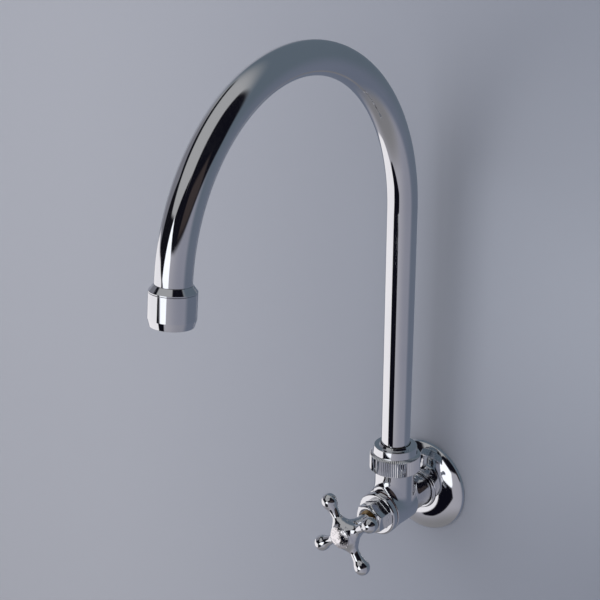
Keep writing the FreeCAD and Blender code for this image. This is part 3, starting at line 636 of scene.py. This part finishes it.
def makeFlange():
    # rim, dome and lip turned round the valve's axis, with the hollow back
    f = flange
    side = f["radius"] - f["draft"]
    outside = [outline([(f["radius"] - f["foot"], 0), (f["radius"], 0, 0.25), (side + 0.15, f["rim"] - 0.5)])]
    outside.append(bow((side, f["rim"]), (f["lip"] + 0.3, f["lipStart"]), f["dome"], 1, 40))
    outside.append(outline([(f["lip"], f["lipStart"] + 0.1), (f["lip"], f["lipEnd"], f["lipRound"]),
                            (f["hole"], f["lipEnd"], f["lipRound"]), (f["hole"], f["recess"]),
                            (f["lip"], f["recess"]), (f["lip"], f["hollowStart"])]))
    outside.append(bow((f["lip"], f["hollowStart"]), f["hollowEnd"], f["hollow"], -1, 24)[1:])
    outside.append(np.array([[f["radius"] - f["foot"], 0]]))
    points, faces = turned(np.vstack(outside), 192)
    mesh = meshOf("wallFlange", inFront(points), faces)
    return piece("wallFlange", mesh, "faucet", chromePlate, ["wall_flange"], crisp=50)


makeFlange()

# ---------- valve body
casting = {
    "neck": 11.8,
    "neckStart": -4.0,
    "barrel": 13.7,
    "barrelStart": 26.5,
    "barrelRound": 1.76,
    "front": 14.5,
    "frontFlare": 9.0,
    "flareBow": 52.0,
    "frontRound": 0.6,
    "tower": 13.25,
    "towerTop": 39.0,
    "blend": 10.0,
    "boreRadius": 6.5,
    "boreEnd": 21.0,
    "voxel": 0.42,
}


def castingField(points):
    # barrel and tower, softly joined where they cross but not where they run side by side, less the water's bore
    c = casting
    front = -points[:, 1]
    aroundBarrel = np.hypot(points[:, 0], points[:, 2])
    aroundRiser = np.hypot(points[:, 0], points[:, 1] - riser[1])
    barrel = polygonField(aroundBarrel, front, castingProfile)
    tower = np.maximum(aroundRiser - c["tower"], np.maximum(points[:, 2] - c["towerTop"], -points[:, 2]))
    crossing = 1 - points[:, 0] ** 2 / np.maximum(aroundBarrel * aroundRiser, 1e-6)
    body = blended(barrel, tower, c["blend"] * np.clip(crossing, 0, 1))
    body = trimmed(body, front - barrelFront, 0.5)
    bore = np.maximum(aroundBarrel - c["boreRadius"], front - c["boreEnd"])
    return np.maximum(body, -bore)


def castingOutline():
    # neck, barrel and the slow widening of the barrel's front
    c = casting
    widening = barrelFront - c["frontFlare"]
    back = outline([(0, c["neckStart"]), (c["neck"], c["neckStart"], 0.4), (c["neck"], c["barrelStart"], 0.5),
                    (c["barrel"], c["barrelStart"], c["barrelRound"]), (c["barrel"], widening)])
    widened = bow((c["barrel"], widening), (c["front"], barrelFront - c["frontRound"]), c["flareBow"], -1)
    centre = (c["front"] - c["frontRound"], barrelFront - c["frontRound"])
    rim = arcPoints(centre, c["frontRound"], 0, math.pi / 2, 6)
    return np.vstack([back, widened[1:], rim[1:], [(0, barrelFront)]])


castingProfile = castingOutline()


def makeValveBody():
    # two turned shells, which the field then joins
    c = casting
    barrelShell = outline([(0, c["boreEnd"]), (c["boreRadius"], c["boreEnd"]), (c["boreRadius"], c["neckStart"]),
                           (c["neck"], c["neckStart"]), (c["neck"], c["barrelStart"]),
                           (c["barrel"], c["barrelStart"]), (c["barrel"], barrelFront), (0, barrelFront)])
    towerShell = outline([(0, 1), (c["tower"], 1), (c["tower"], c["towerTop"]), (0, c["towerTop"])])
    barrelPoints, barrelFaces = turned(barrelShell, 96)
    towerPoints, towerFaces = turned(towerShell, 96)
    start = joined((inFront(barrelPoints), barrelFaces), (towerPoints + riser, towerFaces))
    mesh = cast("valveCasting", start, castingField, c["voxel"])
    return piece("valveCasting", mesh, "faucet", chromeCast, ["valve_body"], crisp=0)


makeValveBody()

shank = {
    "crest": 10.4775,
    "root": 9.3775,
    "pitch": 1.814,
    "steepness": 2.9,
    "relief": 2.0,
    "end": -21.3,
    "lead": 0.8,
    "runout": 0.4,
    "rings": 110,
    "steps": 96,
}


def makeShank():
    # the threaded shank: its radius follows a flat-topped ridge that winds once a pitch and fades at both ends
    s = shank
    start = casting["neckStart"]
    steps = s["steps"]
    along = np.linspace(start - s["relief"], s["end"], s["rings"])
    angle = np.arange(steps) / steps * full
    turns = (along[:, None] / s["pitch"] + angle / full) % 1
    ridge = np.clip(1.25 - np.abs(turns - 0.5) * s["steepness"], 0, 1)
    fade = np.clip((along[:, None] - s["end"]) / s["lead"], 0, 1)
    fade = fade * np.clip((start - s["relief"] - along[:, None]) / s["runout"], 0, 1)
    radius = s["root"] + (s["crest"] - s["root"]) * ridge * fade
    thread = np.stack([radius * np.cos(angle), radius * np.sin(angle), along[:, None] + 0 * angle], -1)
    inside = np.array([(casting["boreRadius"], s["end"]), (casting["boreRadius"], start), (s["root"], start)])
    bore = turned(inside, steps)[0].reshape(len(inside), steps, 3)
    neckRing = np.stack([s["root"] * np.cos(angle), s["root"] * np.sin(angle), 0 * angle + start], -1)[None]
    grid = np.concatenate([neckRing, thread, bore])
    mesh = meshOf("inletShank", inFront(grid.reshape(-1, 3)), gridFaces(len(grid), steps))
    return piece("inletShank", mesh, "faucet", brass, crisp=40)


makeShank()
print("valve body and shank")

# ---------- bonnet
bonnet = {
    "collar": 14.5,
    "collarStart": 52.5,
    "collarEnd": 56.9,
    "collarRound": 1.4,
    "flats": 19.0,
    "angle": math.radians(23.5),
    "inset": 8.6,
    "chamfer": math.radians(30),
    "recess": 7.1,
    "recessDepth": 1.6,
    "recessRound": 0.3,
    "edge": 0.45,
    "join": 0.5,
    "voxel": 0.26,
}


def bonnetField(points):
    # a rounded collar and a hexagonal prism cut by a cone, less the recess in its front
    b = bonnet
    front = -points[:, 1]
    around = np.hypot(points[:, 0], points[:, 2])
    collar = polygonField(around, front, bonnetCollar)
    angle = np.arctan2(points[:, 2], points[:, 0]) - b["angle"]
    sides = [around * np.cos(angle - math.radians(30 + 60 * side)) for side in range(6)]
    prism = sides[0]
    for side in sides[1:]:
        prism = trimmed(prism, side, b["edge"])
    prism = prism - b["flats"] / 2
    cone = (around - b["inset"]) * math.sin(b["chamfer"]) + (front - hexFront) * math.cos(b["chamfer"])
    prism = trimmed(prism, cone, b["edge"])
    prism = trimmed(prism, front - hexFront, b["edge"])
    prism = np.maximum(prism, b["collarStart"] + 1 - front)
    recess = np.maximum(around - b["recess"], hexFront - b["recessDepth"] - front)
    return trimmed(blended(collar, prism, b["join"]), -recess, b["recessRound"])


bonnetCollar = outline([(0, bonnet["collarStart"]), (bonnet["collar"], bonnet["collarStart"], 0.3),
                        (bonnet["collar"], bonnet["collarEnd"], bonnet["collarRound"]), (0, bonnet["collarEnd"])])


def makeBonnet():
    # a turned shell of collar and hexagon, which the field then shapes
    b = bonnet
    floor = hexFront - b["recessDepth"]
    shell = outline([(0, b["collarStart"]), (b["collar"], b["collarStart"]), (b["collar"], b["collarEnd"]),
                     (10.6, b["collarEnd"]), (10.6, hexFront - 0.6), (9.6, hexFront), (b["recess"], hexFront),
                     (b["recess"], floor), (0, floor)])
    points, faces = turned(shell, 96)
    mesh = cast("bonnetHex", (inFront(points), faces), bonnetField, b["voxel"])
    return piece("bonnetHex", mesh, "faucet", chromeCast, ["bonnet"], crisp=0)


makeBonnet()
print("bonnet")

# ---------- handle
handle = {
    "angle": math.radians(35.4),
    "hubStart": 68.0,
    "backRadius": 5.3,
    "waistRadius": 5.2,
    "waist": 75.0,
    "flare": 60.0,
    "shoulderRadius": 9.4,
    "shoulder": 88.0,
    "noseRound": 6.5,
    "frontRadius": 7.5,
    "front": 95.8,
    "plane": 90.0,
    "rootRadius": 4.2,
    "rootReach": 8.0,
    "rootFlare": 14.0,
    "neckRadius": 3.05,
    "neckReach": 13.5,
    "ballFlare": 30.0,
    "jointRadius": 4.3,
    "ballReach": 23.7,
    "ballRadius": 5.1,
    "hubBlend": 4.0,
    "ballBlend": 1.6,
    "voxel": 0.3,
}


def hubOutline():
    # a short back, a slow flare to the shoulder and a rounded nose
    h = handle
    back = outline([(0, h["hubStart"]), (h["backRadius"], h["hubStart"], 0.8), (h["waistRadius"], h["waist"])])
    flare = bow((h["waistRadius"], h["waist"]), (h["shoulderRadius"], h["shoulder"]), h["flare"], -1)
    nose = bow((h["shoulderRadius"], h["shoulder"]), (h["frontRadius"], h["front"]), h["noseRound"], 1)
    return np.vstack([back, flare[1:], nose[1:], [(0, h["front"])]])


hubProfile = hubOutline()


def armOutline():
    # an arm that narrows to its neck and swells into the ball
    h = handle
    joint = h["ballReach"] - math.sqrt(h["ballRadius"] ** 2 - h["jointRadius"] ** 2)
    taper = bow((h["rootReach"], h["rootRadius"]), (h["neckReach"], h["neckRadius"]), h["rootFlare"], 1, 12)
    swell = bow((h["neckReach"], h["neckRadius"]), (joint, h["jointRadius"]), h["ballFlare"], 1, 12)
    ends = [(0, 0), (0, h["rootRadius"])], [(h["ballReach"], h["jointRadius"]), (h["ballReach"], 0)]
    return np.vstack([ends[0], taper, swell[1:], ends[1]])


armProfile = armOutline()


def handleField(points):
    # hub and four arms with balls; both pairs of arms are folded onto one by symmetry
    h = handle
    front = -points[:, 1]
    around = np.hypot(points[:, 0], points[:, 2])
    hub = polygonField(around, front, hubProfile)
    u = points[:, 0] * math.cos(h["angle"]) + points[:, 2] * math.sin(h["angle"])
    v = -points[:, 0] * math.sin(h["angle"]) + points[:, 2] * math.cos(h["angle"])
    along, aside = np.maximum(np.abs(u), np.abs(v)), np.minimum(np.abs(u), np.abs(v))
    off = np.hypot(aside, front - h["plane"])
    arm = polygonField(along, off, armProfile)
    ball = np.hypot(along - h["ballReach"], off) - h["ballRadius"]
    limb = blended(arm, ball, h["ballBlend"])
    return blended(hub, limb, h["hubBlend"] * np.clip((h["front"] - front) / 3, 0, 1))


def makeHandle():
    # rough shells of the hub, arms and balls, which the field then shapes
    h = handle
    roughArm = np.array([(0, 1.0), (4.0, 1.0), (3.0, 13.5), (3.6, 22.0), (0, 22.0)])
    shells = []
    hub, hubFaces = turned(hubProfile, 72)
    shells.append((inFront(hub), hubFaces))
    for quarter in range(4):
        angle = h["angle"] + quarter * math.pi / 2
        reach = np.array([math.cos(angle), 0, math.sin(angle)])
        arm, armFaces = turned(roughArm, 40)
        shells.append((placed(arm, (0, -h["plane"], 0), reach, (0, 1, 0)), armFaces))
        ball, ballFaces = turned(arcPoints((0, 0), h["ballRadius"], -math.pi / 2, math.pi / 2, 24), 40)
        shells.append((placed(ball, (0, -h["plane"], 0) + reach * h["ballReach"], reach, (0, 1, 0)), ballFaces))
    mesh = cast("crossHandle", joined(*shells), handleField, h["voxel"])
    return piece("crossHandle", mesh, "handle", chromeCast, ["handle_cross"], crisp=0)


makeHandle()

cap = {"radius": 7.3, "start": 95.8, "edge": 0.8, "dome": 1.3}


def makeCap():
    # a short wall and a shallow dome
    c = cap
    rise = c["start"] + c["edge"]
    domeRadius = (c["radius"] ** 2 + c["dome"] ** 2) / (2 * c["dome"])
    wall = outline([(0, c["start"] + 0.02), (c["radius"], c["start"] + 0.02, 0.15), (c["radius"], rise - 0.05)])
    dome = bow((c["radius"] - 0.08, rise), (0, rise + c["dome"]), domeRadius, 1, 24)
    points, faces = turned(np.vstack([wall, dome]), 96)
    mesh = meshOf("indexCap", inFront(points), faces)
    return piece("indexCap", mesh, "handle", satinCap, ["index_cap"], crisp=45)


makeCap()
print("handle and cap")


# ---------- stage
wallSize = {"left": -0.78, "right": 0.62, "bottom": -0.75, "top": 1.05, "gap": 0.0002}
# the wall's paint with painted light in it: the left and right colours hold a painted falloff of light, and the paler
# colour is a painted pool of light
wallPaintAndPaintedLight = {
    "left": (0.270, 0.281, 0.322),
    "right": (0.165, 0.180, 0.222),
    "paintedLightPool": (0.245, 0.262, 0.308),
    "paintedLightPoolAt": (0.12, 0.0, 0.16),
    "mottle": 0.05,
    "roughness": 0.42,
}


def makeWall():
    # the wall that the tap hangs on, seen only from the room's side
    w = wallSize
    corners = [(w["left"], w["gap"], w["bottom"]), (w["right"], w["gap"], w["bottom"]),
               (w["right"], w["gap"], w["top"]), (w["left"], w["gap"], w["top"])]
    mesh = bpy.data.meshes.new("wall")
    mesh.from_pydata(corners, [], [(0, 1, 2, 3)])
    wall = bpy.data.objects.new("wall", mesh)
    bpy.context.scene.collection.objects.link(wall)
    material, graph, where = newMaterial("wallPaintAndPaintedLight")
    # the colour carries painted light: it grows darker and bluer towards the right as painted shade where the light
    # falls off, with a soft painted pool of light beside the riser
    across = graph.add("ShaderNodeSeparateXYZ", {}, [where])
    look = wallPaintAndPaintedLight
    mottle = graph.noise(where, 3.0, 2.0) * look["mottle"]
    colour = graph.mix(graph.smooth(across + mottle, -0.36, 0.28), look["left"], look["right"])
    away = graph.add("ShaderNodeVectorMath", {"operation": "DISTANCE"}, [where, look["paintedLightPoolAt"]], out=1)
    # a painted pool of light beside the riser, in the base colour
    colour = graph.mix(graph.smooth(away + mottle, 0.25, 0.02), colour, look["paintedLightPool"])
    paint = graph.add("ShaderNodeBsdfPrincipled", {}, {"Base Color": colour, "Roughness": look["roughness"]})
    clear = graph.add("ShaderNodeBsdfTransparent")
    behind = graph.add("ShaderNodeNewGeometry", out=6)
    graph.add("ShaderNodeOutputMaterial", {}, [graph.add("ShaderNodeMixShader", {}, [behind, paint, clear])])
    mesh.materials.append(material)
    wall.visible_glossy = False


def makeFloor():
    # a plain floor far below the picture
    mesh = bpy.data.meshes.new("floor")
    half, height = 3.0, -0.76
    mesh.from_pydata([(-half, -half, height), (half, -half, height), (half, half, height), (-half, half, height)],
                     [], [(0, 1, 2, 3)])
    floor = bpy.data.objects.new("floor", mesh)
    bpy.context.scene.collection.objects.link(floor)
    material, graph, where = newMaterial("floorPaint")
    tone = graph.noise(where, 2.0, 2.0)
    shaded(graph, {"Base Color": graph.mix(tone, (0.70, 0.70, 0.71), (0.66, 0.66, 0.68)), "Roughness": 0.6})
    mesh.materials.append(material)
    floor.visible_glossy = False


makeWall()
makeFloor()


def direction(azimuth, elevation):
    # a unit vector; azimuth is counted from +X towards +Y, in degrees
    a, e = math.radians(azimuth), math.radians(elevation)
    return np.array([math.cos(e) * math.cos(a), math.cos(e) * math.sin(a), math.sin(e)])


class Studio(Graph):
    # the room that the metal mirrors: grey walls with pale screens and black flags, each a polygon of directions
    def facing(self, where, normal):
        return self.add("ShaderNodeVectorMath", {"operation": "DOT_PRODUCT"}, [where, tuple(normal)], out=1)

    def screen(self, where, corners, softness):
        # 1 inside the great-circle polygon through the corners, counted anticlockwise seen from the tap
        inside = None
        for start, end in zip(corners, corners[1:] + corners[:1]):
            normal = np.cross(direction(*end), direction(*start))
            normal /= np.linalg.norm(normal)
            edge = self.smooth(self.facing(where, normal), -softness, softness)
            inside = edge if inside is None else inside * edge
        return inside


surround = {
    "left": (0.41, 0.40, 0.44),
    "right": (0.27, 0.275, 0.33),
    "above": (0.40, 0.40, 0.405),
    "below": (0.235, 0.23, 0.24),
    "wallHigh": (0.115, 0.145, 0.18),
    "wallLow": (0.15, 0.17, 0.225),
    "diffuse": (0.62, 0.62, 0.63),
    "seen": (0.80, 0.80, 0.81),
}


def makeWorld():
    # what every direction shows: room, wall behind the tap and the screens, in linear colours
    world = bpy.data.worlds.new("studio")
    bpy.context.scene.world = world
    studio = Studio(world)
    where = studio.add("ShaderNodeTexCoord", out=0)
    upward = studio.facing(where, (0, 0, 1))
    rightward = studio.facing(where, direction(10, 0))
    wallward = studio.facing(where, (0, 1, 0))
    s = surround
    room = studio.mix(studio.smooth(rightward, 0.0, 1.0), s["left"], s["right"])
    room = studio.mix(studio.smooth(upward, 0.05, 0.5), room, s["above"])
    room = studio.mix(studio.smooth(upward, -0.62, -0.95), room, s["below"])
    paint = studio.mix(studio.smooth(upward, 0.2, -0.6), s["wallHigh"], s["wallLow"])
    colour = studio.mix(studio.smooth(wallward, 0.10, 0.50), room, paint)
    # corners as azimuth and elevation in degrees, softness of the edge, colour; a later one lies over the others
    screens = [
        ([(-234, 0), (-222, 22), (-200, 20), (-192, 0), (-208, -14)], 0.16, (0.33, 0.34, 0.39)),
        ([(-190, -6), (-196, 30), (-150, 36), (-150, -4)], 0.10, (0.20, 0.20, 0.23)),
        ([(-201, 32), (-201, 47), (-150, 44), (-118, 20), (-135, 18), (-165, 31)], 0.05, (0.008, 0.008, 0.012)),
        ([(-160, -1), (-148, 32), (-126, 25), (-112, -10), (-130, -7)], 0.04, (0.006, 0.006, 0.009)),
        ([(-130, -6), (-127, 21), (-92, 24), (-112, -12)], 0.03, (0.006, 0.006, 0.009)),
        ([(-128, -46), (-121, -8), (-79, -13), (-76, -29), (-100, -45), (-117, -49)], 0.02, (0.004, 0.004, 0.008)),
        ([(-214, -16), (-178, -3), (-140, -1), (-121, -7), (-117, -32), (-122, -38), (-148, -48), (-180, -47),
          (-198, -32)], 0.025, (0.98, 0.95, 0.97)),
        ([(-60, 7), (-78, 8), (-94, 23), (-86, 30), (-60, 44)], 0.03, (0.005, 0.005, 0.009)),
        ([(-116, -8), (-94, 25), (-74, 5), (-75, -12), (-80, -18), (-96, -13)], 0.02, (1.25, 1.27, 1.33)),
        ([(-56, 3), (-68, 15), (-20, 73), (21, 69), (30, 2), (-10, 6)], 0.05, (0.005, 0.005, 0.009)),
        ([(-50, 12), (-34, 30), (2, 26), (8, 10), (-20, 9)], 0.06, (0.045, 0.035, 0.035)),
    ]
    for corners, softness, shade in screens:
        share = studio.screen(where, corners, softness)
        colour = studio.mix(share, colour, shade)
    mirrored = studio.add("ShaderNodeLightPath", out=3)
    seen = studio.add("ShaderNodeLightPath", out=0)
    plain = studio.mix(seen, s["diffuse"], s["seen"])
    colour = studio.mix(mirrored, plain, colour)
    background = studio.add("ShaderNodeBackground", {}, [colour, 1.0])
    studio.add("ShaderNodeOutputWorld", {}, [background])


makeWorld()

lamps = {"key": ((-0.42, -1.5, 0.52), 1.4, 20.0), "fill": ((1.1, -1.6, 0.9), 1.2, 8.0)}
target = Vector((0, 0, 0.16))
for name, (place, side, power) in lamps.items():
    light = bpy.data.lights.new(name, "AREA")
    light.shape = "SQUARE"
    light.size = side
    light.energy = power
    lamp = bpy.data.objects.new(name, light)
    lamp.location = place
    lamp.rotation_euler = (target - Vector(place)).to_track_quat("-Z", "Y").to_euler()
    lamp.visible_glossy = False
    bpy.context.scene.collection.objects.link(lamp)

view = {"place": (0.43205, -0.65277, 0.41574), "azimuth": 39.893, "elevation": 19.797, "lens": 75.12}
camera = bpy.data.objects.new("camera", bpy.data.cameras.new("camera"))
camera.data.lens = view["lens"]
camera.data.sensor_width = 36
camera.location = view["place"]
camera.rotation_euler = (math.radians(90 - view["elevation"]), 0, math.radians(view["azimuth"]))
bpy.context.scene.collection.objects.link(camera)
bpy.context.scene.camera = camera
bpy.context.scene.view_settings.view_transform = "Standard"
print("stage, lamps and camera")
